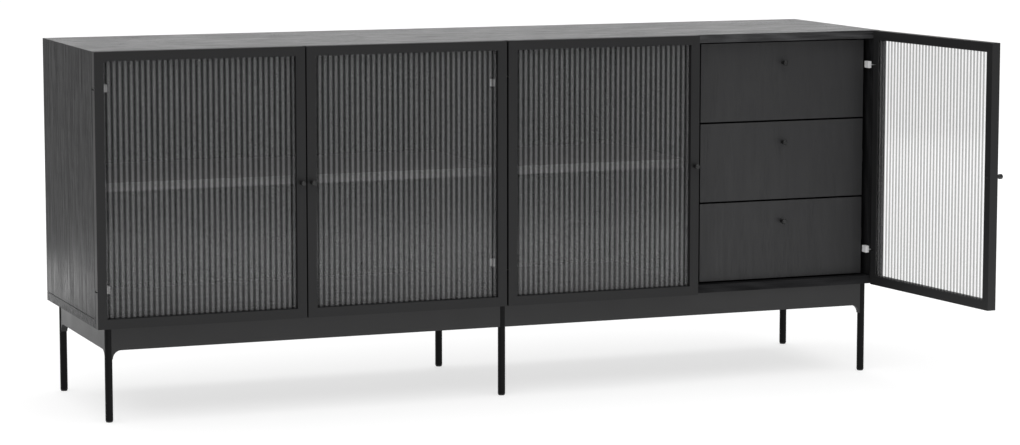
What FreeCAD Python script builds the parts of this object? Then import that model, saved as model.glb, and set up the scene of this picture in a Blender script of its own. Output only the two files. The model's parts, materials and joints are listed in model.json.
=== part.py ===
import FreeCAD, Part
import Sketcher
import os
import re

# A long sideboard: a veneered carcass with two dividers, four glazed doors hung on hidden pins,
# three inner drawers behind the right-hand door, and a welded steel base on six round legs.
# +X runs to the right, +Y to the back, +Z up; the origin is on the floor, under the middle.

doc = FreeCAD.newDocument("Sideboard")
sheet = doc.addObject("Spreadsheet::Sheet", "Sizes")

SIZES = [
    ("width", 1800, "overall, over the carcass"),
    ("depth", 450, "overall, from the door fronts to the back edges"),
    ("height", 770, "floor to the top's upper face"),
    ("base_height", 200, "floor to the carcass's underside"),
    ("panel", 18, "thickness of every carcass panel and shelf"),
    ("seam_chamfer", 1.2, "along a side's lower outer edge, where it stands on the bottom"),
    ("back_thickness", 6, "back panel"),
    ("back_inset", 8, "from the carcass's back edges in to the back panel"),
    ("door_thickness", 20, "front to back"),
    ("door_standoff", 2, "air between a closed door and the carcass"),
    ("door_gap", 3, "between doors 1 and 2, and between doors 3 and 4"),
    ("centre_gap", 4, "between doors 2 and 3, which both hang on the centre divider"),
    ("frame_face", 20, "width of a door frame's stiles and rails"),
    ("glass_thickness", 5, "over the reeds"),
    ("glass_recess", 13, "from a frame's front face to its glass"),
    ("groove_depth", 6, "glass groove in the stiles and rails"),
    ("glass_clearance", 1, "from the glass's edge to the groove's bottom"),
    ("slot_play", 0.1, "air on each face of the glass in its groove"),
    ("door_4_open", 96, "degrees that door 4 stands open"),
    ("pin_inset", 6.5, "hinge pin's axis from the door's outer edge"),
    ("pin_depth", 5, "hinge pin's axis from the door's front face"),
    ("pin_radius", 1.5, "hinge pin"),
    ("pin_length", 20, "hinge pin"),
    ("pin_play", 0.1, "air round a pin in its leaf"),
    ("hinge_offset", 208, "hinge from the door's mid-height, on doors 1, 3 and 4"),
    ("hinge_offset_2", 194, "the same on door 2, whose hinges miss door 3's"),
    ("leaf_thickness", 2.5, "flat steel hinge leaf"),
    ("leaf_play", 0.5, "air above and below a leaf in the stile's kerf"),
    ("leaf_neck", 4, "width of a leaf where it reaches forward to the pin"),
    ("leaf_eye", 3.4, "outer radius of a leaf's eye"),
    ("leaf_root", 2.5, "how far a leaf's body runs past its neck, into the panel"),
    ("leaf_set_in", 4, "from the carcass's front edge back to a leaf's body"),
    ("leaf_body", 18, "front to back length of a leaf's body"),
    ("block_width", 15, "hinge block on the inside of a panel"),
    ("slim_block_width", 8, "the same where the drawers run past it"),
    ("block_height", 15, "hinge block"),
    ("kerf_width", 12, "kerf across the stile from its outer edge"),
    ("kerf_skin", 1.2, "metal left in front of the kerf"),
    ("knob_radius", 5.5, "widest part of a knob"),
    ("knob_neck", 4, "radius of a knob where it meets the front"),
    ("knob_length", 18, "how far a knob stands out"),
    ("drawer_knob_drop", 46, "a drawer front's top edge down to its knob's axis"),
    ("knob_stub", 8, "length of the threaded stub inside the front"),
    ("stub_radius", 2, "threaded stub"),
    ("stub_play", 0.1, "air round the stub in its hole"),
    ("shelf_height", 276, "carcass underside to the shelves' underside"),
    ("shelf_set_back", 43, "carcass front to the shelves' front edges"),
    ("shelf_play", 1, "air at a shelf's ends and back"),
    ("shelf_pin_radius", 2.5, "shelf pin"),
    ("shelf_pin_depth", 8, "length of a shelf pin inside the panel, and outside it"),
    ("shelf_pin_inset", 50, "shelf pins from the shelf's front and back edges"),
    ("drawer_set_back", 20, "carcass front to the closed drawer fronts"),
    ("drawer_gap", 4, "air above and below each drawer front"),
    ("drawer_side_gap", 12, "air at each end of a drawer front"),
    ("drawer_front", 18, "thickness of a drawer front"),
    ("drawer_wall", 12, "thickness of a drawer's sides and back"),
    ("drawer_side_height", 120, "drawer sides"),
    ("drawer_side_raise", 26, "lower edge of a front to the lower edge of its sides"),
    ("drawer_back_space", 26, "between a closed drawer and the back panel"),
    ("drawer_bottom", 6, "thickness of a drawer's bottom"),
    ("drawer_bottom_raise", 10, "lower edge of the sides to the bottom panel"),
    ("drawer_groove", 5, "depth of the groove for the bottom"),
    ("slide_space", 13, "between a drawer side and the bay's wall"),
    ("slide_metal", 1.2, "thickness of the slides' steel"),
    ("slide_outer_height", 27, "slide member on the bay's wall"),
    ("slide_inner_height", 20, "slide member on the drawer"),
    ("slide_outer_reach", 10, "how far the member on the wall reaches across the space"),
    ("slide_inner_reach", 7, "how far the member on the drawer reaches across the space"),
    ("slide_set_back", 2, "from the drawer front's back to the slides' front ends"),
    ("apron_height", 50, "steel rails of the base"),
    ("apron_thickness", 12, "steel rails of the base"),
    ("apron_fillet", 18, "radius where a rail meets an end leg"),
    ("leg_radius", 8, "round legs"),
    ("leg_end_inset", 30, "end legs' axes from the carcass's sides"),
    ("leg_face_inset", 16, "legs' axes from the carcass's front and back edges"),
    ("glide_height", 3, "plastic glide under each leg"),
    ("glide_radius", 7, "plastic glide under each leg"),
    ("glide_round", 1, "rounding of a glide's lower edge"),
    ("tab_length", 40, "steel tabs that the carcass is screwed to"),
    ("tab_width", 25, "steel tabs that the carcass is screwed to"),
    ("tab_thickness", 3, "steel tabs that the carcass is screwed to"),
]

# Places worked out from the sizes. Each is written once and used by every piece that meets it.
DERIVED = {
    "door_front": "-depth / 2",
    "carcass_front": "door_front + door_thickness + door_standoff",
    "carcass_back": "depth / 2",
    "carcass_depth": "carcass_back - carcass_front",
    "back_front": "carcass_back - back_inset - back_thickness",
    "inner_depth": "back_front - carcass_front",
    "side_x": "width / 2",
    "inner_x": "width / 2 - panel",
    "divider_x": "width / 4",
    "floor_z": "base_height + panel",
    "ceiling_z": "height - panel",
    "bay_height": "height - base_height - 2 * panel",
    "carcass_height": "height - base_height",
    "middle_z": "(base_height + height) / 2",
    "outer_door": "width / 4 - door_gap / 2",
    "middle_door": "width / 4 - door_gap / 2 - centre_gap / 2",
    "pin_y": "door_front + pin_depth",
    "shelf_z": "base_height + shelf_height",
    "shelf_depth": "inner_depth - shelf_set_back - shelf_play",
    "drawer_bay_left": "divider_x + panel / 2",
    "drawer_bay_width": "inner_x - drawer_bay_left",
    "drawer_face": "carcass_front + drawer_set_back",
    "front_height": "(bay_height - 4 * drawer_gap) / 3",
    "box_left": "drawer_bay_left + slide_space",
    "box_width": "drawer_bay_width - 2 * slide_space",
    "box_front": "drawer_face + drawer_front",
    "drawer_length": "back_front - drawer_back_space - box_front",
    "leg_x": "width / 2 - leg_end_inset",
    "front_leg_y": "carcass_front + leg_face_inset",
    "rear_leg_y": "carcass_back - leg_face_inset",
}

nodes = []


def fill_sheet():
    """Write each size as plain text beside its name, and give its cell that name."""
    for row, (alias, value, note) in enumerate(SIZES, start=1):
        sheet.set("A%d" % row, alias)
        sheet.set("B%d" % row, str(value))
        sheet.set("C%d" % row, note)
        sheet.setAlias("B%d" % row, alias)
    doc.recompute()


def expression(text):
    """Turn a formula on the names above into one on the sheet's cells."""
    aliases = {alias for alias, _, _ in SIZES}

    def named(match):
        word = match.group(0)
        if word in aliases:
            return "Sizes." + word
        if word in DERIVED:
            return "(" + expression(DERIVED[word]) + ")"
        return word

    return re.sub(r"[a-z_][a-z_0-9]*", named, text)


def bind(thing, prop, text):
    thing.setExpression(prop, expression(text))


def place(thing, x, y, z):
    bind(thing, "Placement.Base.x", x)
    bind(thing, "Placement.Base.y", y)
    bind(thing, "Placement.Base.z", z)


def box(name, start, size):
    """A block whose lowest corner is at start."""
    block = doc.addObject("Part::Box", name)
    for prop, text in zip(("Length", "Width", "Height"), size):
        bind(block, prop, text)
    place(block, *start)
    return block


def rod(name, start, radius, length, axis=(0, 0, 1)):
    """A round bar from start along axis."""
    bar = doc.addObject("Part::Cylinder", name)
    bind(bar, "Radius", radius)
    bind(bar, "Height", length)
    bar.Placement = FreeCAD.Placement(
        FreeCAD.Vector(), FreeCAD.Rotation(FreeCAD.Vector(0, 0, 1), FreeCAD.Vector(*axis))
    )
    place(bar, *start)
    return bar


def group(name, things):
    """Several separate solids as one object."""
    several = doc.addObject("Part::Compound", name)
    several.Links = things
    return several


def cut(name, base, tools):
    result = doc.addObject("Part::Cut", name)
    result.Base = base
    result.Tool = tools[0] if len(tools) == 1 else group(name + "_cutters", tools)
    return result


def fuse(name, things):
    result = doc.addObject("Part::MultiFuse", name)
    result.Shapes = things
    return result


def node(thing):
    nodes.append(thing)
    return thing


def body_with_profile(name, role, points):
    """A body whose first sketch is a closed outline on one of its own origin planes.

    A coordinate of "0" pins the corner to the axis; any other is a driven distance.
    """
    body = doc.addObject("PartDesign::Body", name)
    sketch = body.newObject("Sketcher::SketchObject", name + "_outline")
    plane = [f for f in body.Origin.OriginFeatures if f.Role == role][0]
    sketch.AttachmentSupport = (plane, [""])
    sketch.MapMode = "FlatFace"
    guess = [(value_of(x), value_of(y)) for x, y in points]
    for (x0, y0), (x1, y1) in zip(guess, guess[1:] + guess[:1]):
        start, end = FreeCAD.Vector(x0, y0, 0), FreeCAD.Vector(x1, y1, 0)
        sketch.addGeometry(Part.LineSegment(start, end), False)
    for edge in range(len(points)):
        following = (edge + 1) % len(points)
        sketch.addConstraint(Sketcher.Constraint("Coincident", edge, 2, following, 1))
    for edge, (x, y) in enumerate(points):
        pin_corner(sketch, edge, "DistanceX", -2, x, guess[edge][0])
        pin_corner(sketch, edge, "DistanceY", -1, y, guess[edge][1])
    return body, sketch


def pin_corner(sketch, edge, kind, axis, text, value):
    """Hold the start of an edge on an axis, or at its driven distance from the origin."""
    if text == "0":
        sketch.addConstraint(Sketcher.Constraint("PointOnObject", edge, 1, axis))
        return
    index = sketch.addConstraint(Sketcher.Constraint(kind, -1, 1, edge, 1, value))
    bind(sketch, "Constraints[%d]" % index, text)


def value_of(text):
    """The present value of a formula, worked out in a spare cell of the sheet."""
    sheet.set("E1", "=" + expression(text).replace("Sizes.", ""))
    sheet.recompute()
    value = float(sheet.get("E1"))
    sheet.clear("E1")
    return value


def pad(body, sketch, length, reversed_=False):
    feature = body.newObject("PartDesign::Pad", body.Name + "_pad")
    feature.Profile = sketch
    feature.Reversed = reversed_
    bind(feature, "Length", length)
    body.Tip = feature
    sketch.Visibility = False
    return feature


# --- carcass ---------------------------------------------------------------------------------


def hinge_mortises(name, left, right, offset):
    """Slots in a panel's front edge, from left to right, that a door's two leaves are let into."""
    slots = []
    for end, sign in (("low", "-"), ("high", "+")):
        height = "middle_z %s %s - leaf_thickness / 2 - slot_play" % (sign, offset)
        slots.append(
            box(
                "%s_%s_mortise" % (name, end),
                (left, "carcass_front - 1", height),
                (
                    "%s - (%s)" % (right, left),
                    "1 + leaf_set_in + leaf_body + slot_play",
                    "leaf_thickness + 2 * slot_play",
                ),
            )
        )
    return slots


def shelf_pin_rods(name, face, towards, inside="shelf_pin_depth", outside="shelf_pin_depth"):
    """Front and back pins at one face; towards is +1 where the shelf lies to the face's right."""
    start = "%s - %s" % (face, inside if towards > 0 else outside)
    length = "%s + %s" % (inside, outside)
    places = (
        ("front", "carcass_front + shelf_set_back + shelf_pin_inset"),
        ("back", "carcass_front + shelf_set_back + shelf_depth - shelf_pin_inset"),
    )
    low = "shelf_z - shelf_pin_radius"
    return [
        rod("%s_%s" % (name, end), (start, y, low), "shelf_pin_radius", length, (1, 0, 0))
        for end, y in places
    ]


def make_top():
    """The top, mitred at both ends to meet the sides without an edge showing."""
    body, sketch = body_with_profile(
        "top_panel",
        "XZ_Plane",
        [("0", "panel"), ("width", "panel"), ("width - panel", "0"), ("panel", "0")],
    )
    pad(body, sketch, "carcass_depth", reversed_=True)
    place(body, "-side_x", "carcass_front", "ceiling_z")
    return node(body)


def make_sides():
    """Sides that stand on the bottom panel, mitred at the top."""
    for name, sign in (("left_side_panel", -1), ("right_side_panel", 1)):
        outer, inner = ("0", "panel") if sign < 0 else ("panel", "0")
        relieved = "seam_chamfer" if sign < 0 else "panel - seam_chamfer"
        outline = [
            (outer, "seam_chamfer"),
            (relieved, "0"),
            (inner, "0"),
            (inner, "carcass_height - 2 * panel"),
            (outer, "carcass_height - panel"),
        ]
        body, sketch = body_with_profile(name + "_board", "XZ_Plane", outline)
        pad(body, sketch, "carcass_depth", reversed_=True)
        place(body, "-side_x" if sign < 0 else "inner_x", "carcass_front", "floor_z")
        root = "(side_x - pin_inset + leaf_neck / 2 + leaf_root + slot_play)"
        if sign < 0:
            tools = hinge_mortises("left_side", "-" + root, "(1 - inner_x)", "hinge_offset")
            tools += shelf_pin_rods("left_side_bore", "-inner_x", 1, outside="1")
        else:
            tools = hinge_mortises("right_side", "(inner_x - 1)", root, "hinge_offset")
        node(cut(name, body, tools))


def make_bottom():
    board = box(
        "bottom_panel",
        ("-side_x", "carcass_front", "base_height"),
        ("width", "carcass_depth", "panel"),
    )
    return node(board)


def make_dividers():
    """The centre divider carries doors 2 and 3; the other one walls off the drawers."""
    centre = box(
        "centre_board", ("-panel / 2", "carcass_front", "floor_z"), ("panel", "inner_depth", "bay_height")
    )
    root = "(centre_gap / 2 + pin_inset - leaf_neck / 2 - leaf_root - slot_play)"
    tools = hinge_mortises("centre_left", "(-panel / 2 - 1)", "-" + root, "hinge_offset_2")
    tools += hinge_mortises("centre_right", root, "(panel / 2 + 1)", "hinge_offset")
    tools += shelf_pin_rods("centre_left_bore", "-panel / 2", -1, outside="1")
    tools += shelf_pin_rods("centre_right_bore", "panel / 2", 1, outside="1")
    node(cut("centre_divider", centre, tools))

    board = box(
        "drawer_bay_board",
        ("divider_x - panel / 2", "carcass_front", "floor_z"),
        ("panel", "inner_depth", "bay_height"),
    )
    bores = shelf_pin_rods("drawer_bay_bore", "divider_x - panel / 2", -1, outside="1")
    node(cut("drawer_bay_divider", board, bores))


def make_back():
    board = box(
        "back_panel",
        ("-inner_x", "back_front", "floor_z"),
        ("width - 2 * panel", "back_thickness", "bay_height"),
    )
    return node(board)


def make_shelves():
    """One shelf across bays 1 and 2, one in bay 3, each on pins at its ends."""
    front = "carcass_front + shelf_set_back"
    node(
        box(
            "long_shelf",
            ("-inner_x + shelf_play", front, "shelf_z"),
            ("inner_x - panel / 2 - 2 * shelf_play", "shelf_depth", "panel"),
        )
    )
    node(
        box(
            "short_shelf",
            ("panel / 2 + shelf_play", front, "shelf_z"),
            ("divider_x - panel - 2 * shelf_play", "shelf_depth", "panel"),
        )
    )
    pins = shelf_pin_rods("left_side_pin", "-inner_x", 1)
    pins += shelf_pin_rods("centre_left_pin", "-panel / 2", -1)
    pins += shelf_pin_rods("centre_right_pin", "panel / 2", 1)
    pins += shelf_pin_rods("drawer_bay_pin", "divider_x - panel / 2", -1)
    node(group("shelf_pins", pins))


# --- base ------------------------------------------------------------------------------------

APRON_Z = "base_height - apron_height"


def gusset(name, start, size, arc_start, axis):
    """A corner block hollowed by a quarter round, where a rail runs into an end leg."""
    block = box(name + "_block", start, size)
    hollow = rod(name + "_hollow", arc_start, "apron_fillet", "apron_thickness + 2", axis)
    return cut(name, block, [hollow])


def make_long_aprons():
    """Front and rear rails. Each is welded in two lengths, one each side of its middle leg."""
    for name, y in (("front_apron", "front_leg_y"), ("rear_apron", "rear_leg_y")):
        near = y + " - apron_thickness / 2"
        bar = box(
            name + "_bar", ("-leg_x", near, APRON_Z), ("2 * leg_x", "apron_thickness", "apron_height")
        )
        pieces = [bar]
        for side, sign in (("left", -1), ("right", 1)):
            start_x = "-leg_x" if sign < 0 else "leg_x - leg_radius - apron_fillet"
            arc_x = "%s(leg_x - leg_radius - apron_fillet)" % ("-" if sign < 0 else "")
            pieces.append(
                gusset(
                    "%s_%s_gusset" % (name, side),
                    (start_x, near, APRON_Z + " - apron_fillet"),
                    ("leg_radius + apron_fillet", "apron_thickness", "apron_fillet"),
                    (arc_x, near + " - 1", APRON_Z + " - apron_fillet"),
                    (0, 1, 0),
                )
            )
        legs = [
            rod("%s_leg_%d" % (name, number), (x, y, "0"), "leg_radius", "base_height + 1")
            for number, x in enumerate(("-leg_x", "0", "leg_x"), start=1)
        ]
        node(cut(name, fuse(name + "_welded", pieces), legs))


def make_side_aprons():
    """The two end rails, between the front and rear legs."""
    rails = []
    for name, x in (("left_apron", "-leg_x"), ("right_apron", "leg_x")):
        near = x + " - apron_thickness / 2"
        start_y = "front_leg_y + leg_radius"
        run = "rear_leg_y - front_leg_y - 2 * leg_radius"
        pieces = [box(name + "_bar", (near, start_y, APRON_Z), ("apron_thickness", run, "apron_height"))]
        for end, block_y, arc_y in (
            ("front", start_y, start_y + " + apron_fillet"),
            ("rear", "rear_leg_y - leg_radius - apron_fillet", "rear_leg_y - leg_radius - apron_fillet"),
        ):
            pieces.append(
                gusset(
                    "%s_%s_gusset" % (name, end),
                    (near, block_y, APRON_Z + " - apron_fillet"),
                    ("apron_thickness", "apron_fillet", "apron_fillet"),
                    (near + " - 1", arc_y, APRON_Z + " - apron_fillet"),
                    (1, 0, 0),
                )
            )
        rails.append(fuse(name, pieces))
    node(group("side_aprons", rails))


LEG_PLACES = [
    ("front_left", "-leg_x", "front_leg_y"),
    ("front_middle", "0", "front_leg_y"),
    ("front_right", "leg_x", "front_leg_y"),
    ("rear_left", "-leg_x", "rear_leg_y"),
    ("rear_middle", "0", "rear_leg_y"),
    ("rear_right", "leg_x", "rear_leg_y"),
]


def make_legs():
    glides = []
    for name, x, y in LEG_PLACES:
        node(
            rod(
                name + "_leg", (x, y, "glide_height"), "leg_radius", "base_height - glide_height"
            )
        )
        disc = rod(name + "_disc", (x, y, "0"), "glide_radius", "glide_height")
        doc.recompute()
        rounded = doc.addObject("Part::Fillet", name + "_glide")
        rounded.Base = disc
        lower = [
            number
            for number, edge in enumerate(disc.Shape.Edges, start=1)
            if edge.Closed and edge.BoundBox.ZMax < disc.Shape.BoundBox.ZMin + 0.01
        ]
        rounded.Edges = [(number, value_of("glide_round"), value_of("glide_round")) for number in lower]
        glides.append(rounded)
    node(group("leg_glides", glides))


def make_tabs():
    """Flat tabs welded inside the rails, for the screws up into the bottom panel."""
    tabs = []
    top = "base_height - tab_thickness"
    inside = "apron_thickness / 2"
    for end, y in (
        ("front", "front_leg_y + " + inside),
        ("rear", "rear_leg_y - %s - tab_width" % inside),
    ):
        for number, x in enumerate(("-width / 4", "width / 4"), start=1):
            tabs.append(
                box(
                    "%s_tab_%d" % (end, number),
                    (x + " - tab_length / 2", y, top),
                    ("tab_length", "tab_width", "tab_thickness"),
                )
            )
    for name, x in (("left_tab", "-leg_x + " + inside), ("right_tab", "leg_x - %s - tab_width" % inside)):
        middle = "(front_leg_y + rear_leg_y) / 2 - tab_length / 2"
        tabs.append(box(name, (x, middle, top), ("tab_width", "tab_length", "tab_thickness")))
    node(group("base_tabs", tabs))


# --- doors -----------------------------------------------------------------------------------

# name, hand (+1 hangs on its left edge), hinge pin's x, width, hinge offset, degrees open
DOORS = [
    ("door_1", 1, "-side_x + pin_inset", "outer_door", "hinge_offset", None),
    ("door_2", -1, "-centre_gap / 2 - pin_inset", "middle_door", "hinge_offset_2", None),
    ("door_3", 1, "centre_gap / 2 + pin_inset", "middle_door", "hinge_offset", None),
    ("door_4", -1, "side_x - pin_inset", "outer_door", "hinge_offset", "door_4_open"),
]


def knob(name, x, y, z):
    """A turned knob with its threaded stub, pointing forwards from y."""
    outline = [
        ("0", "knob_stub"),
        ("stub_radius", "knob_stub"),
        ("stub_radius", "0"),
        ("knob_neck", "0"),
        ("knob_neck", "-0.4 * knob_length"),
        ("knob_radius", "-0.6 * knob_length"),
        ("knob_radius", "-0.9 * knob_length"),
        ("0.7 * knob_radius", "-knob_length"),
        ("0", "-knob_length"),
    ]
    body, sketch = body_with_profile(name, "XY_Plane", outline)
    turned = body.newObject("PartDesign::Revolution", name + "_turned")
    turned.Profile = sketch
    turned.ReferenceAxis = (sketch, ["V_Axis"])
    turned.Angle = 360
    body.Tip = turned
    place(body, x, y, z)
    return body


def hang(thing, pin_x, swing):
    """Stand a door piece, drawn about its hinge axis, on the carcass, opened by swing."""
    if swing:
        thing.Placement = FreeCAD.Placement(FreeCAD.Vector(), FreeCAD.Rotation(FreeCAD.Vector(0, 0, 1), 10))
        bind(thing, "Placement.Rotation.Angle", swing)
    place(thing, pin_x, "pin_y", "0")
    return node(thing)


def frame_members(name, left, width):
    """Four mitred members, as outlines in the door's face padded through its thickness."""
    height = "carcass_height"
    face = "frame_face"
    outlines = {
        "left_stile": (
            left,
            "base_height",
            [("0", "0"), (face, face), (face, height + " - " + face), ("0", height)],
        ),
        "right_stile": (
            left + " + " + width + " - " + face,
            "base_height",
            [(face, "0"), (face, height), ("0", height + " - " + face), ("0", face)],
        ),
        "bottom_rail": (
            left,
            "base_height",
            [("0", "0"), (width, "0"), (width + " - " + face, face), (face, face)],
        ),
        "top_rail": (
            left,
            "height - " + face,
            [(face, "0"), (width + " - " + face, "0"), (width, face), ("0", face)],
        ),
    }
    members = []
    for member, (x, z, outline) in outlines.items():
        body, sketch = body_with_profile("%s_%s" % (name, member), "XZ_Plane", outline)
        pad(body, sketch, "door_thickness", reversed_=True)
        place(body, x, "-pin_depth", z)
        members.append(body)
    return members


def make_door(name, hand, pin_x, width, offset, swing):
    """One glazed door. Its pieces are drawn about the hinge axis, then hung at their place."""
    left = "-pin_inset" if hand > 0 else "(pin_inset - %s)" % width
    knob_x = "%s(%s - pin_inset - frame_face / 2)" % ("" if hand > 0 else "-", width)
    rebate = "(frame_face - groove_depth)"
    glass_edge = "(frame_face - groove_depth + glass_clearance)"
    glass_y = "glass_recess - pin_depth"

    tools = [
        box(
            name + "_glass_groove",
            (left + " + " + rebate, glass_y + " - slot_play", "base_height + " + rebate),
            (
                "%s - 2 * %s" % (width, rebate),
                "glass_thickness + 2 * slot_play",
                "carcass_height - 2 * " + rebate,
            ),
        ),
        rod(
            name + "_knob_bore",
            (knob_x, "-pin_depth - 1", "middle_z"),
            "stub_radius + stub_play",
            "knob_stub + 2",
            (0, 1, 0),
        ),
    ]
    kerf_x = "-pin_inset - 1" if hand > 0 else "pin_inset + 1 - kerf_width"
    pins = []
    for end, sign in (("low", "-"), ("high", "+")):
        hinge_z = "middle_z %s %s" % (sign, offset)
        tools.append(
            box(
                "%s_%s_kerf" % (name, end),
                (kerf_x, "kerf_skin - pin_depth", hinge_z + " - leaf_thickness / 2 - leaf_play"),
                ("kerf_width", "door_thickness", "leaf_thickness + 2 * leaf_play"),
            )
        )
        start = ("0", "0", hinge_z + " - pin_length / 2")
        tools.append(rod("%s_%s_pin_bore" % (name, end), start, "pin_radius", "pin_length"))
        pins.append(rod("%s_%s_pin" % (name, end), start, "pin_radius", "pin_length"))

    members = group(name + "_members", frame_members(name, left, width))
    hang(cut(name + "_frame", members, tools), pin_x, swing)
    hang(group(name + "_hinge_pins", pins), pin_x, swing)
    pane = box(
        name + "_pane",
        (left + " + " + glass_edge, glass_y, "base_height + " + glass_edge),
        ("%s - 2 * %s" % (width, glass_edge), "glass_thickness", "carcass_height - 2 * " + glass_edge),
    )
    hang(group(name + "_glass", [pane]), pin_x, swing)
    turned = knob(name + "_turned_knob", knob_x, "-pin_depth", "middle_z")
    hang(group(name + "_knob", [turned]), pin_x, swing)


def hinge_leaf(name, hand, pin_x, panel_face, hinge_z, block):
    """A flat leaf from the pin's eye back into the panel, with a block on the panel's inside.

    panel_face is the distance from the pin's axis to the panel's inner face.
    """
    half = "leaf_thickness / 2"
    back = "(door_thickness + door_standoff + leaf_set_in - pin_depth)"
    low = hinge_z + " - " + half

    def span(near, far):
        """Start and length across, for a run measured from the pin towards the door."""
        if hand > 0:
            return "%s + %s" % (pin_x, near), "%s - (%s)" % (far, near)
        return "%s - (%s)" % (pin_x, far), "%s - (%s)" % (far, near)

    inner_end = "(%s + %s)" % (panel_face, block)
    neck_x, neck_width = span("(-leaf_neck / 2)", "(leaf_neck / 2)")
    body_x, body_width = span("(-leaf_neck / 2 - leaf_root)", inner_end)
    block_x, block_width = span(panel_face, inner_end)
    eye = rod(name + "_eye", (pin_x, "pin_y", low), "leaf_eye", "leaf_thickness")
    neck = box(name + "_neck", (neck_x, "pin_y", low), (neck_width, back + " + 1", "leaf_thickness"))
    plate = box(
        name + "_plate", (body_x, "pin_y + " + back, low), (body_width, "leaf_body", "leaf_thickness")
    )
    end_block = box(
        name + "_block",
        (block_x, "pin_y + " + back, hinge_z + " - block_height / 2"),
        (block_width, "leaf_body", "block_height"),
    )
    hole = rod(
        name + "_hole", (pin_x, "pin_y", low + " - 1"), "pin_radius + pin_play", "leaf_thickness + 2"
    )
    return cut(name, fuse(name + "_solid", [eye, neck, plate, end_block]), [hole])


def make_hinge_leaves():
    leaves = []
    for name, hand, pin_x, _, offset, _ in DOORS:
        on_side = name in ("door_1", "door_4")
        face = "(panel - pin_inset)" if on_side else "(panel / 2 - centre_gap / 2 - pin_inset)"
        block = "slim_block_width" if name == "door_4" else "block_width"
        for end, sign in (("low", "-"), ("high", "+")):
            hinge_z = "middle_z %s %s" % (sign, offset)
            leaf = "%s_%s_leaf" % (name, end)
            leaves.append(hinge_leaf(leaf, hand, pin_x, face, hinge_z, block))
    node(group("hinge_leaves", leaves))


# --- drawers ---------------------------------------------------------------------------------


def slide_member(name, start_x, opens, y, middle, height, reach):
    """A steel channel: a web with two flanges. opens is +1 where its open side faces right."""
    metal = "slide_metal"
    low = "%s - %s / 2" % (middle, height)
    bar = box(name + "_bar", (start_x, y, low), (reach, "drawer_length", height))
    hollow_x = start_x + " + " + metal if opens > 0 else start_x + " - 1"
    hollow = box(
        name + "_hollow",
        (hollow_x, y + " - 1", low + " + " + metal),
        (reach + " - slide_metal + 1", "drawer_length + 2", "%s - 2 * %s" % (height, metal)),
    )
    return cut(name, bar, [hollow])


def make_drawer(number, outer_slides):
    """Drawer 1 is the top one. Front, sides, back and a bottom let into grooves."""
    name = "drawer_%d" % number
    front_low = "(ceiling_z - %d * (front_height + drawer_gap))" % number
    side_low = "(%s + drawer_side_raise)" % front_low
    bottom_low = "(%s + drawer_bottom_raise)" % side_low
    box_right = "(box_left + box_width)"
    back_y = "(box_front + drawer_length - drawer_wall)"
    middle_x = "(box_left + box_width / 2)"
    knob_z = "(%s + front_height - drawer_knob_drop)" % front_low

    bottom_x = "(box_left + drawer_wall - drawer_groove)"
    bottom_y = "(box_front - drawer_groove)"
    bottom_width = "box_width - 2 * drawer_wall + 2 * drawer_groove"
    bottom_depth = "drawer_length + drawer_groove - 2"
    groove_low = bottom_low + " - slot_play"
    groove_height = "drawer_bottom + 2 * slot_play"

    front = box(
        name + "_front_board",
        ("drawer_bay_left + drawer_side_gap", "drawer_face", front_low),
        ("drawer_bay_width - 2 * drawer_side_gap", "drawer_front", "front_height"),
    )
    front_groove = box(
        name + "_front_groove",
        (bottom_x + " - slot_play", bottom_y + " - slot_play", groove_low),
        (bottom_width + " + 2 * slot_play", "drawer_groove + 1 + slot_play", groove_height),
    )
    stub_bore = rod(
        name + "_stub_bore",
        (middle_x, "drawer_face - 1", knob_z),
        "stub_radius + stub_play",
        "knob_stub + 2",
        (0, 1, 0),
    )
    node(cut(name + "_front", front, [front_groove, stub_bore]))

    for side, x, groove_x in (
        ("left_side", "box_left", bottom_x + " - slot_play"),
        ("right_side", box_right + " - drawer_wall", box_right + " - drawer_wall - 1"),
    ):
        board = box(
            "%s_%s_board" % (name, side),
            (x, "box_front", side_low),
            ("drawer_wall", "drawer_length", "drawer_side_height"),
        )
        groove = box(
            "%s_%s_groove" % (name, side),
            (groove_x, "box_front - 1", groove_low),
            ("drawer_groove + 1 + slot_play", "drawer_length + 2", groove_height),
        )
        node(cut("%s_%s" % (name, side), board, [groove]))

    node(
        box(
            name + "_back",
            ("box_left + drawer_wall", back_y, bottom_low + " + drawer_bottom + slot_play"),
            (
                "box_width - 2 * drawer_wall",
                "drawer_wall",
                "drawer_side_height - drawer_bottom_raise - drawer_bottom - slot_play",
            ),
        )
    )
    node(
        box(
            name + "_bottom",
            (bottom_x, bottom_y, bottom_low),
            (bottom_width, bottom_depth, "drawer_bottom"),
        )
    )
    node(knob(name + "_knob", middle_x, "drawer_face", knob_z))

    slide_y = "box_front + slide_set_back"
    slide_z = "(%s + drawer_side_height / 2)" % side_low
    inner = ("slide_inner_height", "slide_inner_reach")
    outer = ("slide_outer_height", "slide_outer_reach")
    node(
        group(
            name + "_slides",
            [
                slide_member(
                    name + "_left_inner", "box_left - slide_inner_reach", -1, slide_y, slide_z, *inner
                ),
                slide_member(name + "_right_inner", box_right, 1, slide_y, slide_z, *inner),
            ],
        )
    )
    outer_slides += [
        slide_member(name + "_left_outer", "drawer_bay_left", 1, slide_y, slide_z, *outer),
        slide_member(
            name + "_right_outer", "inner_x - slide_outer_reach", -1, slide_y, slide_z, *outer
        ),
    ]


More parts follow.
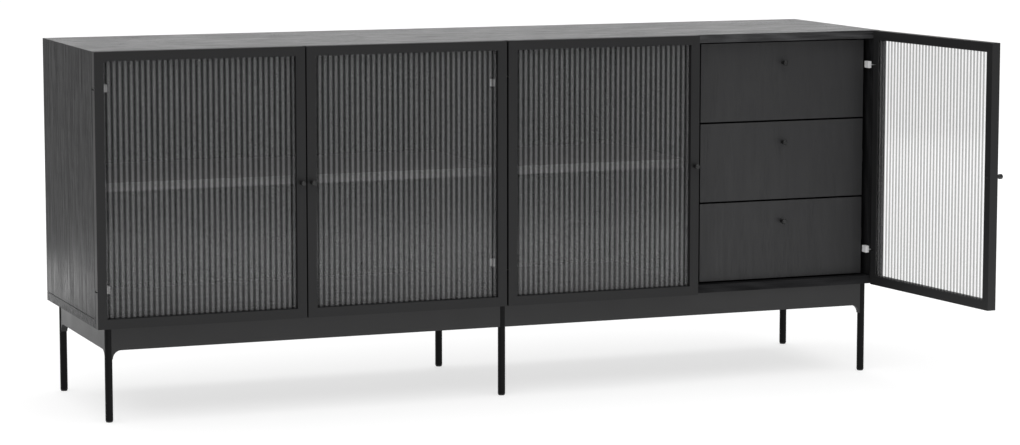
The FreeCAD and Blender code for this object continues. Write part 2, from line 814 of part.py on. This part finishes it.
def export():
    """Check every object, then write each node's solids."""
    doc.recompute()
    for thing in doc.Objects:
        if {"Invalid", "Error"} & set(thing.State):
            raise RuntimeError("%s is %s" % (thing.Label, thing.State))
    for thing in nodes:
        if thing.Shape.isNull() or not thing.Shape.isValid() or not thing.Shape.Solids:
            raise RuntimeError("%s has no valid solid" % thing.Label)
    os.makedirs("parts", exist_ok=True)
    for thing in nodes:
        thing.Shape.exportStep("parts/%s.step" % thing.Label)
    print("%d nodes, %d solids" % (len(nodes), sum(len(thing.Shape.Solids) for thing in nodes)))


fill_sheet()
make_top()
make_sides()
make_bottom()
make_dividers()
make_back()
make_shelves()
make_long_aprons()
make_side_aprons()
make_legs()
make_tabs()
for door in DOORS:
    make_door(*door)
make_hinge_leaves()
outer_members = []
for drawer in (1, 2, 3):
    make_drawer(drawer, outer_members)
node(group("drawer_slide_rails", outer_members))
export()
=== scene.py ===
import json
from math import radians

import bpy
from mathutils import Matrix, Vector


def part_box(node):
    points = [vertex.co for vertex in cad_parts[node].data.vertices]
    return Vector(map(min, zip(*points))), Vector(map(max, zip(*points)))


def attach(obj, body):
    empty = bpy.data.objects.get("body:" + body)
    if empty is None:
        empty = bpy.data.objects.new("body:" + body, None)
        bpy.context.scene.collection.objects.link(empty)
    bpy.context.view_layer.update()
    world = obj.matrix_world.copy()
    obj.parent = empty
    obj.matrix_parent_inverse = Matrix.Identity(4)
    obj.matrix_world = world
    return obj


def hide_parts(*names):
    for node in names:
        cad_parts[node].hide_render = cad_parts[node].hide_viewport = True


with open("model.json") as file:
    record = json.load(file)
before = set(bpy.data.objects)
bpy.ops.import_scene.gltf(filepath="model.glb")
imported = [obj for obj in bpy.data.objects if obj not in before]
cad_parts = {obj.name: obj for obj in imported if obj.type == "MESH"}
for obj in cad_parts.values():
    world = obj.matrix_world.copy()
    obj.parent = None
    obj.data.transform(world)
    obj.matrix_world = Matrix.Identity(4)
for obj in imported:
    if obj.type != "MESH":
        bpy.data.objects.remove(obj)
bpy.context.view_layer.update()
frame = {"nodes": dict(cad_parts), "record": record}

# --- Camera ----------------------------------------------------------------------------------
# It stands to the left and in front, a little above the top, and looks slightly down.

lens = bpy.data.cameras.new("room_view")
lens.sensor_width = 36
lens.lens = 114.1
lens.clip_end = 200
camera = bpy.data.objects.new("room_view", lens)
bpy.context.collection.objects.link(camera)
camera.location = (-2.493, -6.622, 1.247)
camera.rotation_euler = (radians(90 - 7.19), 0, radians(-21.33))
bpy.context.scene.camera = camera
bpy.context.scene.view_settings.view_transform = "Standard"

# --- Outer carcass ---------------------------------------------------------------------------
# Top, sides and bottom are boards faced with black-stained oak. The grain runs along the
# top and bottom and up the sides, and its pores stay open under a thin matt lacquer.


class Wire:
    """A socket of a node tree. Sums on it add Math nodes, and node() adds any other kind."""

    def __init__(self, tree, socket=None):
        self.tree = tree
        self.socket = socket

    def node(self, kind, settings=None, inputs=None, output=0):
        """Add a node. Its settings come first, then the values or links of its sockets."""
        made = self.tree.nodes.new(kind)
        for name, value in (settings or {}).items():
            setattr(made, name, value)
        for name, value in (inputs or {}).items():
            if isinstance(value, Wire):
                self.tree.links.new(value.socket, made.inputs[name])
            else:
                made.inputs[name].default_value = value
        return Wire(self.tree, made.outputs[output])

    def maths(self, operation, *values):
        return self.node("ShaderNodeMath", {"operation": operation}, dict(enumerate(values)))

    def __add__(self, other):
        return self.maths("ADD", self, other)

    def __sub__(self, other):
        return self.maths("SUBTRACT", self, other)

    def __mul__(self, other):
        return self.maths("MULTIPLY", self, other)

    def __rsub__(self, other):
        return self.maths("SUBTRACT", other, self)

    __radd__ = __add__
    __rmul__ = __mul__

    def blend(self, low, high):
        """This mask's mix of two colours."""
        return self.node(
            "ShaderNodeMix", {"data_type": "RGBA"}, {0: self, 6: (*low, 1), 7: (*high, 1)}, output=2
        )

    def noise(self, place, stretch, detail=3.0):
        """Noise that is finer along an axis the larger that axis's stretch is."""
        spread = self.node("ShaderNodeMapping", inputs={"Vector": place, "Scale": stretch})
        return self.node(
            "ShaderNodeTexNoise", inputs={"Vector": spread, "Scale": 1.0, "Detail": detail}
        )

    def steepen(self, low, high):
        """This value stretched so that low becomes 0 and high becomes 1."""
        return self.node(
            "ShaderNodeMapRange", inputs={"Value": self, "From Min": low, "From Max": high}
        )

    def relief(self, distance, strength):
        """A bumped normal whose full height is distance, in metres."""
        return self.node(
            "ShaderNodeBump", inputs={"Height": self, "Distance": distance, "Strength": strength}
        )


def new_finish(name, **constants):
    """A material with its shader's fixed values set; returns it, a wire to build on and wear()."""
    material = bpy.data.materials.new(name)
    material.use_nodes = True
    tree = material.node_tree
    shader = tree.nodes["Principled BSDF"]
    for socket, value in constants.items():
        shader.inputs[socket.replace("_", " ")].default_value = value

    def wear(**sockets):
        for socket, wire in sockets.items():
            tree.links.new(wire.socket, shader.inputs[socket.replace("_", " ")])

    return material, Wire(tree), wear


def object_place(wire):
    """Where a point of the piece is, in the frame's own axes."""
    return wire.node("ShaderNodeTexCoord", output="Object")


def stretched(grain, along, across):
    """Noise stretch for a grain that runs along the axis named by grain."""
    return tuple(along if axis == grain else across for axis in "XYZ")


def stained_oak(name, grain, dark, light, rough=0.42, sheen=0.4, figured=0.0):
    """Black-stained oak: arched figure, fine fibres and open pores under a thin lacquer.

    grain names the axis it runs along, and figured is how far the figure stands in relief.
    """
    material, wire, wear = new_finish(name, Specular_IOR_Level=sheen)
    place = object_place(wire)
    growth = wire.noise(place, stretched(grain, 0.9, 7.0), detail=1.5)
    rings = 95.0  # the higher, the closer the arches of the figure lie
    arches = wire.maths("SINE", growth * rings).steepen(-0.4, 1.0)
    fibres = wire.noise(place, stretched(grain, 9.0, 420.0), detail=2.0).steepen(0.3, 0.7)
    pores = wire.noise(place, stretched(grain, 26.0, 1300.0), detail=1.0).steepen(0.56, 0.68)
    pores = pores * arches.steepen(-0.3, 0.8)
    clouds = wire.noise(place, stretched(grain, 2.0, 5.0), detail=2.0).steepen(0.3, 0.7)
    streaks = wire.noise(place, stretched(grain, 11.0, 85.0), detail=3.0).steepen(0.35, 0.65)
    tone = fibres * 0.35 + arches * 0.3 + clouds * 0.15 + streaks * 0.2
    height = fibres * 0.3 + streaks * figured + arches * (0.5 * figured) - pores
    wear(
        Base_Color=tone.blend(dark, light),
        Roughness=rough + 0.12 * fibres + 0.2 * pores - 0.08 * streaks,
        Normal=height.relief(0.00025, 0.6),
    )
    return material


def dress(material, *nodes):
    """Give CAD nodes a finish in place of their plain one."""
    for node in nodes:
        for slot in frame["nodes"][node].material_slots:
            slot.material = material


def grey(value, blue=0.0):
    """A grey, or with blue above nought a slightly cool one."""
    return (value, value, value + blue)


# the top is rubbed to a soft shine, and its grain's pale grey is painted light where the top faces
# up; the rest is left matt
charcoal = grey(0.006, 0.0005)
top_painted_light = grey(0.066, 0.003)
soot = grey(0.022, 0.001)
top_oak = stained_oak("oak_top", "X", charcoal, top_painted_light, 0.34, 0.21, figured=6.0)
side_oak = stained_oak("oak_sides", "Z", charcoal, soot, 0.36, 0.025, figured=0.9)
bottom_oak = stained_oak("oak_bottom", "X", charcoal, soot, 0.36, 0.025, figured=1.6)
dress(top_oak, "top_panel")
dress(side_oak, "left_side_panel", "right_side_panel")
dress(bottom_oak, "bottom_panel")

# --- Inside of the carcass -------------------------------------------------------------------
# The dividers and back are black-faced board with a fine printed grain, and the shelves a paler
# grey one. Shelf pins and hinge pins are zinc-plated steel, and the hinges' leaves nickel, made
# near-white and hardly metallic as a painted glint that keeps them bright in the dark carcass.

doors = (1, 2, 3, 4)
inside_board = stained_oak("board_inside", "Z", grey(0.004), grey(0.010), 0.5, 0.2)
dress(inside_board, "centre_divider", "drawer_bay_divider", "back_panel")
shelf_board = stained_oak("board_shelf", "X", grey(0.06), grey(0.1), 0.5)
dress(shelf_board, "long_shelf", "short_shelf")


def bright_steel(name, colour, rough, metallic=1.0):
    """Plated steel with fine rolling marks and faint cloudy patches."""
    material, wire, wear = new_finish(name, Metallic=metallic)
    place = object_place(wire)
    marks = wire.noise(place, (900.0, 40.0, 900.0), detail=2.0)
    patches = wire.noise(place, (60.0, 60.0, 60.0), detail=3.0)
    tone = marks * 0.4 + patches * 0.6
    dull = tuple(value * 0.8 for value in colour)
    clean = tuple(min(1.0, value * 1.15) for value in colour)
    wear(
        Base_Color=tone.blend(dull, clean),
        Roughness=rough + 0.15 * patches,
        Normal=marks.relief(0.00003, 0.4),
    )
    return material


zinc = bright_steel("zinc_plate", (0.66, 0.67, 0.68), 0.25)
# the nickel is made near-white and hardly metallic, a painted glint that keeps it bright inside the
# dark carcass
nickel_painted_glint = bright_steel("nickel_painted_glint", grey(0.95), 0.35, metallic=0.1)
dress(zinc, "shelf_pins", *["door_%d_hinge_pins" % door for door in doors])
dress(nickel_painted_glint, "hinge_leaves")

# --- Steel base ------------------------------------------------------------------------------
# Flat rails welded between six round legs, powder-coated black, on turned plastic glides.


def powder_coat(name, dark, light, rough, sheen=0.4):
    """A baked powder coat: a fine even texture with slight clouding of its gloss."""
    material, wire, wear = new_finish(name, Specular_IOR_Level=sheen)
    place = object_place(wire)
    texture = wire.noise(place, (1400.0, 1400.0, 1400.0), detail=2.0)
    clouds = wire.noise(place, (14.0, 14.0, 14.0), detail=3.0)
    tone = texture * 0.5 + clouds * 0.5
    wear(
        Base_Color=tone.blend(dark, light),
        Roughness=rough + 0.12 * clouds,
        Normal=texture.relief(0.00008, 0.35),
    )
    return material


rail_dark, rail_light = grey(0.010, 0.0005), grey(0.016, 0.0005)
base_coat = powder_coat("base_powder_coat", rail_dark, rail_light, 0.45, 0.35)
dress(base_coat, "front_apron", "rear_apron", "side_aprons", "base_tabs")
leg_coat = powder_coat("leg_powder_coat", grey(0.002, 0.0002), grey(0.005, 0.0002), 0.4, 0.1)
for row in ("front", "rear"):
    dress(leg_coat, *["%s_%s_leg" % (row, place) for place in ("left", "middle", "right")])

glide_plastic, wire, wear = new_finish("glide_plastic")
speckle = wire.noise(object_place(wire), (700.0, 700.0, 700.0))
wear(
    Base_Color=speckle.blend(grey(0.008), grey(0.022)),
    Roughness=0.45 + 0.2 * speckle,
    Normal=speckle.relief(0.0001, 0.4),
)
dress(glide_plastic, "leg_glides")

# --- Door frames and knobs -------------------------------------------------------------------
# Slim mitred frames with a smooth black finish, and small turned knobs to match.

frame_dark, frame_light = grey(0.008, 0.0005), grey(0.014, 0.0005)
frame_coat = powder_coat("door_frame_coat", frame_dark, frame_light, 0.5, 0.25)
dress(frame_coat, *["door_%d_frame" % door for door in doors])
knob_coat = powder_coat("knob_coat", grey(0.004), grey(0.009), 0.3)
drawers = (1, 2, 3)
dress(knob_coat, *["door_%d_knob" % door for door in doors])
dress(knob_coat, *["drawer_%d_knob" % drawer for drawer in drawers])

# --- Reeded glass ----------------------------------------------------------------------------
# Each door holds a cast pane with a flat back and upright half-round reeds on its front. A
# pane is drawn about its door's hinge axis, then swung and moved to the door.

reed_width = 0.0119  # about the width of a reed, as each pane holds a whole number of them
pane_edge = 0.0085  # from the hinge axis across to the pane's edge, which is let into the frame
pane_recess = 0.008  # from the hinge axis back to the reeds' crowns
pane_thick = 0.005


def record_joint(name):
    """The joint of this name in the frame's record."""
    for joint in frame["record"]["behaviour"]["joints"]:
        if joint["name"] == name:
            return joint
    raise KeyError(name)


def rest_swing(door):
    """The angle about its hinge, seen from above, at which a door rests."""
    hinge = record_joint("door_%d_hinge" % door)
    opened = max(0.0, -hinge["range_deg"][0])
    return radians(opened) * (1 if hinge["axis"][2] > 0 else -1)


def reeded_glass(name, pin, swing, left_edge, pitch):
    """Ribbed glass: clear with a pale painted highlight on a reed's crown, and painted shade, dark
    and denser, in the valley where light turns aside.

    left_edge is where the closed pane starts, from the hinge axis.
    """
    material, wire, wear = new_finish(name, Roughness=0.14, IOR=1.5, Specular_IOR_Level=0.35)
    from_pin = wire.node(
        "ShaderNodeVectorMath",
        {"operation": "SUBTRACT"},
        {0: object_place(wire), 1: (pin[0], pin[1], 0.0)},
    )
    closed = wire.node(
        "ShaderNodeVectorRotate",
        {"rotation_type": "Z_AXIS"},
        {"Vector": from_pin, "Angle": -swing},
    )
    across = wire.node("ShaderNodeSeparateXYZ", inputs={0: closed})
    phase = wire.maths("FRACT", across * (1 / pitch) - left_edge / pitch)
    # 0 in the middle of a reed and 1 where two meet
    fall = wire.maths("ABSOLUTE", phase * 2.0 - 1.0)
    crown_painted_highlight = 1.0 - fall.steepen(0.1, 0.4)
    valley_painted_shade = fall.steepen(0.26, 0.56)
    streaks = wire.noise(closed, (60.0, 60.0, 4.0), detail=2.0)
    # the valley's dark, denser colour is painted shade where the reeds turn light aside, and the
    # crown's pale grey is a painted highlight
    wear(
        Base_Color=valley_painted_shade.blend(grey(0.6, 0.005), grey(0.016, 0.001)),
        Alpha=0.03 + crown_painted_highlight * 0.12 + valley_painted_shade * 0.58 + streaks * 0.02,
    )
    return material


def pick(piece, kind, wanted):
    """Open a piece to edit with only those of its edges or faces selected that are wanted."""
    bpy.ops.object.mode_set(mode="EDIT")
    bpy.ops.mesh.select_mode(type=kind)
    bpy.ops.mesh.select_all(action="DESELECT")
    bpy.ops.object.mode_set(mode="OBJECT")
    for element in piece.data.edges if kind == "EDGE" else piece.data.polygons:
        element.select = wanted(element)
    bpy.ops.object.mode_set(mode="EDIT")


def upright_in_front(edge):
    """Whether an edge of the reed being made runs up its front."""
    ends = [bpy.context.object.data.vertices[v].co for v in edge.vertices]
    return all(end.y < 0 for end in ends) and abs(ends[0].z - ends[1].z) > 0.1


def cast_reed(pitch, tall, middle):
    """One reed, open at both sides: a bar with its front edges rounded into one crown."""
    bpy.ops.object.select_all(action="DESELECT")
    bpy.ops.mesh.primitive_cube_add(size=1, location=(0, 0, 0))
    reed = bpy.context.object
    reed.scale = (pitch, 2 * pitch, tall)
    bpy.ops.object.transform_apply(location=True, rotation=True, scale=True)
    pick(reed, "EDGE", upright_in_front)
    bpy.ops.mesh.bevel(offset=pitch * 0.499, segments=5, profile=0.5)
    side = pitch * 0.49
    pick(reed, "FACE", lambda face: abs(face.normal.x) > 0.999 and abs(face.center.x) > side)
    bpy.ops.mesh.delete(type="FACE")
    bpy.ops.object.mode_set(mode="OBJECT")
    reed.scale = (1, pane_thick / (2 * pitch), 1)
    reed.location = middle
    bpy.ops.object.transform_apply(location=True, rotation=True, scale=True)
    return reed


def join_row(reed, pitch, count):
    """Repeat a reed into a closed pane."""
    row = reed.modifiers.new("row_of_reeds", "ARRAY")
    row.count = count
    row.use_relative_offset = False
    row.use_constant_offset = True
    row.constant_offset_displace = (pitch, 0, 0)
    row.use_merge_vertices = True
    row.merge_threshold = 0.0002
    bpy.ops.object.modifier_apply(modifier=row.name)
    bpy.ops.object.mode_set(mode="EDIT")
    bpy.ops.mesh.select_all(action="SELECT")
    bpy.ops.mesh.remove_doubles(threshold=0.00005)
    bpy.ops.mesh.select_all(action="DESELECT")
    bpy.ops.mesh.select_mode(type="EDGE")
    bpy.ops.mesh.select_non_manifold()
    bpy.ops.mesh.fill_holes(sides=0)
    bpy.ops.mesh.select_all(action="SELECT")
    bpy.ops.mesh.normals_make_consistent(inside=False)
    bpy.ops.object.mode_set(mode="OBJECT")
    bpy.ops.object.shade_smooth_by_angle(angle=radians(40))


flat_back, wire, wear = new_finish("flat_glass_back", Roughness=0.05, IOR=1.5)
smears = wire.noise(object_place(wire), (5.0, 5.0, 5.0), detail=2.0)
wear(Base_Color=smears.blend(grey(0.3), grey(0.4)), Alpha=0.02 + smears * 0.02)

for door in doors:
    hinge = record_joint("door_%d_hinge" % door)
    pin = hinge["pos_m"]
    swing = rest_swing(door)
    # door 4 rests open, so its pane is measured on door 1, its closed twin
    pane_low, pane_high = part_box("door_%d_glass" % (1 if door == 4 else door))
    tall = pane_high[2] - pane_low[2]
    wide = pane_high[0] - pane_low[0]
    count = round(wide / reed_width)
    pitch = wide / count
    runs_right = hinge["axis"][2] < 0
    left_edge = pane_edge if runs_right else -pane_edge - wide
    middle_z = (pane_low[2] + pane_high[2]) / 2
    pane = cast_reed(pitch, tall, (left_edge + pitch / 2, pane_recess + pane_thick / 2, middle_z))
    pane.name = "door_%d_reeded_pane" % door
    join_row(pane, pitch, count)
    pane.data.materials.clear()
    ribbed = reeded_glass("reeded_glass_%d" % door, pin, swing, left_edge, pitch)
    pane.data.materials.append(ribbed)
    pane.data.materials.append(flat_back)
    for face in pane.data.polygons:
        face.material_index = 1 if face.normal.y > 0.99 else 0
    pane.location = (pin[0], pin[1], 0)
    pane.rotation_euler = (0, 0, swing)
    bpy.ops.object.transform_apply(location=True, rotation=True, scale=True)
    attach(pane, "door_%d" % door)
    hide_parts("door_%d_glass" % door)

# --- Drawers ---------------------------------------------------------------------------------
# Fronts are faced with an even dark veneer, its grain upright. The boxes are black board, and
# they run on channel slides of blackened steel.

veneer_dark, veneer_light = grey(0.021, 0.001), grey(0.025, 0.001)
front_veneer = stained_oak("drawer_front_veneer", "Z", veneer_dark, veneer_light, 0.5, 0.3)
box_board = stained_oak("drawer_box_board", "Y", grey(0.008), grey(0.016), 0.5)
slide_steel = powder_coat("slide_black_zinc", grey(0.008), grey(0.02), 0.35)
dress(slide_steel, "drawer_slide_rails")
for drawer in drawers:
    dress(front_veneer, "drawer_%d_front" % drawer)
    for part in ("left_side", "right_side", "back", "bottom"):
        dress(box_board, "drawer_%d_%s" % (drawer, part))
    dress(slide_steel, "drawer_%d_slides" % drawer)

# --- Screws ----------------------------------------------------------------------------------
# Zinc-plated pan heads: one behind each drawer's knob, four on its slides and one in each tab of
# the base. The door knobs' heads are black, and flat nickel ones, near-white as a painted glint,
# stand above and below the leaves of the outer doors' hinges.


def flat_end(face):
    """Whether a face looks straight along its screw."""
    return face.normal.z > 0.999


def pan_screw(
    name, place, towards, body, radius=0.0035, height=0.0022, finish=zinc
):
    """A pan head at place, standing out towards an axis, with a sunk drive."""
    bpy.ops.object.select_all(action="DESELECT")
    bpy.ops.mesh.primitive_cylinder_add(vertices=24, radius=radius, depth=height)
    screw = bpy.context.object
    screw.name = name
    # the flat end is picked twice: to round its rim, then to sink the drive
    pick(screw, "FACE", flat_end)
    bpy.ops.mesh.bevel(offset=height * 0.4, segments=3)
    pick(screw, "FACE", flat_end)
    bpy.ops.mesh.inset(thickness=radius * 0.3)
    bpy.ops.mesh.extrude_region_move(TRANSFORM_OT_translate={"value": (0, 0, -height / 2)})
    bpy.ops.transform.resize(value=(0.55, 0.55, 1))
    bpy.ops.object.mode_set(mode="OBJECT")
    bpy.ops.object.shade_smooth_by_angle(angle=radians(35))
    screw.rotation_mode = "QUATERNION"
    screw.rotation_quaternion = Vector(towards).to_track_quat("Z", "Y")
    screw.location = Vector(place) + Vector(towards) * (height / 2)
    bpy.ops.object.transform_apply(location=True, rotation=True, scale=True)
    screw.data.materials.append(finish)
    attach(screw, body)


def middle_of(node):
    """The middle of a node's box."""
    low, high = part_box(node)
    return (Vector(low) + Vector(high)) / 2


slide_metal = 0.0012  # the slides' steel, between a screw's head and the drawer's side
slide_front, slide_back = 0.033, 0.035  # from a slide's ends to its screws

for drawer in drawers:
    body = "drawer_%d" % drawer
    left_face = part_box(body + "_left_side")[0][0] - slide_metal
    right_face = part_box(body + "_right_side")[1][0] + slide_metal
    slide_low, slide_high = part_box(body + "_slides")
    level = middle_of(body + "_slides").z
    for end, y in (("front", slide_low[1] + slide_front), ("back", slide_high[1] - slide_back)):
        name = "drawer_%d_slide_screw_%s" % (drawer, end)
        pan_screw(name + "_left", (left_face, y, level), (-1, 0, 0), body)
        pan_screw(name + "_right", (right_face, y, level), (1, 0, 0), body)
    knob = middle_of(body + "_knob")
    place = (knob.x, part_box(body + "_front")[1][1], knob.z)
    pan_screw("drawer_%d_knob_screw" % drawer, place, (0, 1, 0), body)

for door in doors:
    # worked out for the closed door, then swung with it to where the door rests
    pin = Vector(record_joint("door_%d_hinge" % door)["pos_m"])
    turn = Matrix.Rotation(rest_swing(door), 3, "Z")
    knob = turn.inverted() @ (middle_of("door_%d_knob" % door) - pin) + pin
    frame_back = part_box("door_1_frame")[1][1]
    pan_screw(
        "door_%d_knob_screw" % door,
        turn @ (Vector((knob.x, frame_back, knob.z)) - pin) + pin,
        turn @ Vector((0, 1, 0)),
        "door_%d" % door,
        height=0.0018,
        finish=knob_coat,
    )

half_pin = 0.01  # from a hinge pin's end to its leaf
leaf_screw = 0.0125  # from a leaf up and down to its screws

for door, panel in ((1, "left_side_panel"), (4, "right_side_panel")):
    # each leaf of an outer door's hinge is held in the side's front edge by two flat heads
    front_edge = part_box(panel)[0][1]
    pins_low, pins_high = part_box("door_%d_hinge_pins" % door)
    for end, leaf in (("low", pins_low[2] + half_pin), ("high", pins_high[2] - half_pin)):
        for side, offset in (("under", -leaf_screw), ("over", leaf_screw)):
            pan_screw(
                "door_%d_hinge_screw_%s_%s" % (door, end, side),
                (middle_of(panel).x, front_edge, leaf + offset),
                (0, -1, 0),
                "carcass",
                radius=0.004,
                height=0.0014,
                finish=nickel_painted_glint,
            )

half_tab = 0.0125  # half of a tab's width
tabs_low, tabs_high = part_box("base_tabs")
top_low, top_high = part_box("top_panel")
quarter = (top_high[0] - top_low[0]) / 4
rows = (tabs_low[1] + half_tab, (tabs_low[1] + tabs_high[1]) / 2, tabs_high[1] - half_tab)
tab_places = [(x, y) for x in (-quarter, quarter) for y in (rows[0], rows[2])]
tab_places += [(tabs_low[0] + half_tab, rows[1]), (tabs_high[0] - half_tab, rows[1])]
for number, (x, y) in enumerate(tab_places, start=1):
    pan_screw("tab_screw_%d" % number, (x, y, tabs_low[2]), (0, 0, -1), "carcass", radius=0.005)

# --- Room ------------------------------------------------------------------------------------
# A plain pale floor that runs on past the view, an even white surround, and soft lamps.

bpy.ops.object.select_all(action="DESELECT")
bpy.ops.mesh.primitive_plane_add(size=120, location=(0, 0, 0))
floor = bpy.context.object
floor.name = "floor"
floor_paint, wire, wear = new_finish("floor_paint", Roughness=0.9, Emission_Strength=0.66)
mottle = wire.noise(object_place(wire), (0.5, 0.5, 0.5))
wear(
    Base_Color=mottle.blend(grey(0.39), grey(0.41)),
    Emission_Color=mottle.blend(grey(0.99), grey(1.0)),
)
floor_paint.cycles.emission_sampling = "NONE"
floor.data.materials.append(floor_paint)

world = bpy.data.worlds.new("white_surround")
world.use_nodes = True
surround = Wire(world.node_tree)
# white where the camera sees it, dimmer as a light
seen = surround.node("ShaderNodeLightPath")
glow = surround.maths("MULTIPLY_ADD", seen, 0.6, 0.4)
sky = world.node_tree.nodes["Background"]
sky.inputs["Color"].default_value = (1, 1, 1, 1)
world.node_tree.links.new(glow.socket, sky.inputs["Strength"])
bpy.context.scene.world = world

overhead = bpy.data.objects.new("overhead_glow", bpy.data.lights.new("overhead_glow", "SUN"))
overhead.data.energy = 2.0
overhead.data.angle = radians(80)
overhead.rotation_euler = (radians(12), radians(-8), 0)
bpy.context.collection.objects.link(overhead)


def soft_lamp(name, place, towards, size, energy):
    """A rectangular lamp that lights the object but isn't seen itself."""
    panel = bpy.data.lights.new(name, "AREA")
    panel.shape = "RECTANGLE"
    panel.size, panel.size_y = size
    panel.energy = energy
    lamp = bpy.data.objects.new(name, panel)
    lamp.location = place
    lamp.rotation_euler = (Vector(towards) - lamp.location).to_track_quat("-Z", "Y").to_euler()
    lamp.visible_camera = False
    bpy.context.collection.objects.link(lamp)


soft_lamp("back_softbox", (1.8, 5.0, 1.95), (0, 0, 0.8), (7, 2), 45)
soft_lamp("low_side_panel", (-1.3, 1.05, 0.1), (-0.9, 0.0, 0.2), (0.9, 0.1), 0.9)
soft_lamp("low_front_strip", (0.2, -1.6, 0.1), (0.0, 0.0, 0.3), (3.6, 0.16), 6)
